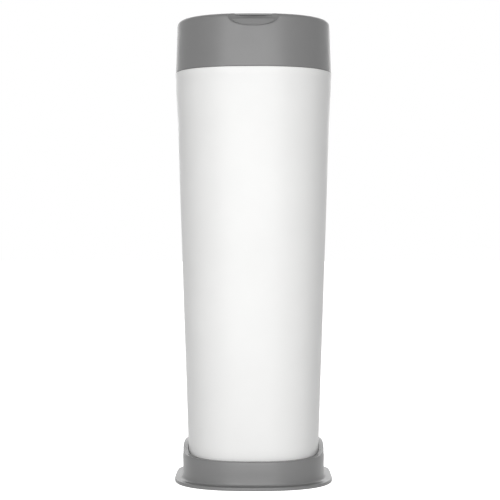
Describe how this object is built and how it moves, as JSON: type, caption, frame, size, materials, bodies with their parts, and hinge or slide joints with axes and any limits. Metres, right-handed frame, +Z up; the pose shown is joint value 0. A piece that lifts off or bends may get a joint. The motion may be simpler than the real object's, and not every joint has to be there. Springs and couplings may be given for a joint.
{
  "type": "nappy bin",
  "caption": "Tall tapered nappy bin with a grey collar and flip lid, a white lift-out tub, a flanged base cup, a twist ring and a film cassette.",
  "frame": {"origin": "centre of the footprint, on the floor under the rubber feet", "axes": "+Z up, the front with the finger scoop faces -Y, +X to the right seen from the front"},
  "size_m": [0.219, 0.219, 0.638],
  "materials": {
    "grey_shell": "satin moulded grey plastic",
    "white_shell": "satin moulded white plastic",
    "inner_plastic": "satin moulded pale grey plastic",
    "refill_plastic": "moulded pale blue plastic",
    "film": "thin blown film, pale blue",
    "rubber": "matt moulded rubber",
    "steel": "bright steel"
  },
  "bodies": {
    "base": {"base_cup": "grey_shell", "rubber_foot_1": "rubber", "rubber_foot_2": "rubber", "rubber_foot_3": "rubber", "rubber_foot_4": "rubber"},
    "tub": {"tub": "white_shell"},
    "collar": {"collar_shell": "grey_shell", "rim_seal": "rubber", "cassette_deck": "inner_plastic", "deck_screw_1": "steel", "deck_screw_2": "steel", "deck_screw_3": "steel", "deck_screw_4": "steel", "grip_finger_ring": "white_shell", "hinge_pin_left": "steel", "hinge_pin_right": "steel"},
    "lid": {"flip_lid": "grey_shell", "lid_inner_panel": "inner_plastic", "lid_seal": "rubber"},
    "ring": {"twist_ring": "inner_plastic", "cassette_tray": "refill_plastic", "cassette_sleeve": "refill_plastic", "cassette_cap": "refill_plastic", "film_pack": "film", "film_liner": "film"},
    "cutter": {"cutter_slider": "grey_shell", "cutter_blade": "steel"}
  },
  "joints": [
    {"name": "tub_lift", "type": "slide", "parent": "base", "child": "tub", "axis": [0, 0, 1], "range_m": [0, 0.06]},
    {"name": "collar_lift", "type": "slide", "parent": "tub", "child": "collar", "axis": [0, 0, 1], "range_m": [0, 0.17]},
    {"name": "lid_hinge", "type": "hinge", "parent": "collar", "child": "lid", "pos_m": [0, 0.099, 0.632], "axis": [-1, 0, 0], "range_deg": [0, 100]},
    {"name": "ring_turn", "type": "hinge", "parent": "collar", "child": "ring", "pos_m": [0, 0, 0.6], "axis": [0, 0, 1], "continuous": true},
    {"name": "cutter_press", "type": "slide", "parent": "ring", "child": "cutter", "axis": [0, 0, -1], "range_m": [0, 0.005]}
  ]
}
